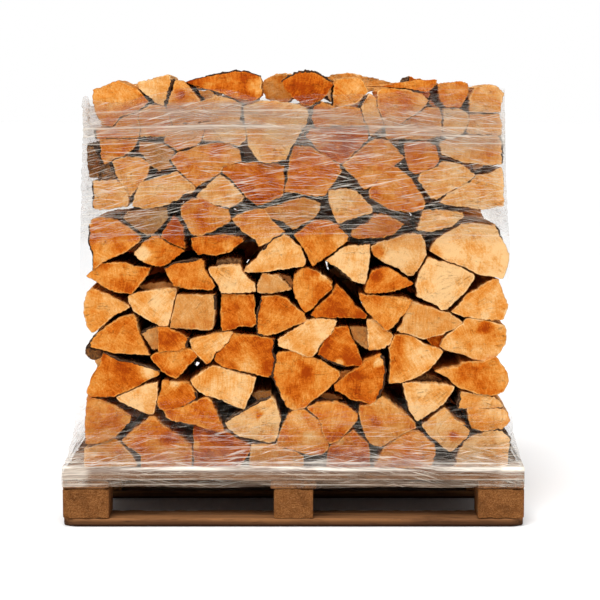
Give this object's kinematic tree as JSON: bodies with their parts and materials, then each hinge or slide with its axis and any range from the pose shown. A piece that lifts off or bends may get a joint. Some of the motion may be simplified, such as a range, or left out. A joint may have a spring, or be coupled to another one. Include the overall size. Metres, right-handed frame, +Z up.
{
  "type": "firewood bundle",
  "caption": "Pallet of split firewood: two rows of short splits stacked end-on, tied down by clear stretch film wound round the stack and the deck boards.",
  "frame": {"origin": "on the floor, under the middle of the pallet", "axes": "+Z up, +X along the pallet's long side, +Y from the front row of splits towards the back row"},
  "size_m": [1.2036, 0.8036, 1.183],
  "materials": {
    "split_wood": "sawn ends and split sides of a light orange hardwood, matt, with strips of dark bark",
    "pallet_board": "rough-sawn softwood boards, dry and slightly greyed",
    "chip_block": "pressed wood chips, coarse and matt",
    "film": "clear stretch film with crinkled, whitish bands, glossy"
  },
  "bodies": {
    "root": {"deck_board_1": "pallet_board", "deck_board_2": "pallet_board", "deck_board_3": "pallet_board", "deck_board_4": "pallet_board", "deck_board_5": "pallet_board", "stringer_board_left": "pallet_board", "stringer_board_middle": "pallet_board", "stringer_board_right": "pallet_board", "block_front_left": "chip_block", "block_front_middle": "chip_block", "block_front_right": "chip_block", "block_middle_left": "chip_block", "block_middle_middle": "chip_block", "block_middle_right": "chip_block", "block_back_left": "chip_block", "block_back_middle": "chip_block", "block_back_right": "chip_block", "bottom_board_front": "pallet_board", "bottom_board_middle": "pallet_board", "bottom_board_back": "pallet_board", "front_course_1": "split_wood", "front_course_2": "split_wood", "front_course_3": "split_wood", "front_course_4": "split_wood", "front_course_5": "split_wood", "front_course_6": "split_wood", "front_course_7": "split_wood", "front_course_8": "split_wood", "front_course_9": "split_wood", "front_top_split_1": "split_wood", "front_top_split_2": "split_wood", "front_top_split_3": "split_wood", "front_top_split_4": "split_wood", "front_top_split_5": "split_wood", "front_top_split_6": "split_wood", "front_top_split_7": "split_wood", "front_top_split_8": "split_wood", "front_top_split_9": "split_wood", "front_top_split_10": "split_wood", "back_course_1": "split_wood", "back_course_2": "split_wood", "back_course_3": "split_wood", "back_course_4": "split_wood", "back_course_5": "split_wood", "back_course_6": "split_wood", "back_course_7": "split_wood", "back_course_8": "split_wood", "back_course_9": "split_wood", "back_top_split_1": "split_wood", "back_top_split_2": "split_wood", "back_top_split_3": "split_wood", "back_top_split_4": "split_wood", "back_top_split_5": "split_wood", "back_top_split_6": "split_wood", "back_top_split_7": "split_wood", "back_top_split_8": "split_wood", "back_top_split_9": "split_wood", "back_top_split_10": "split_wood", "stretch_film": "film"}
  },
  "joints": []
}
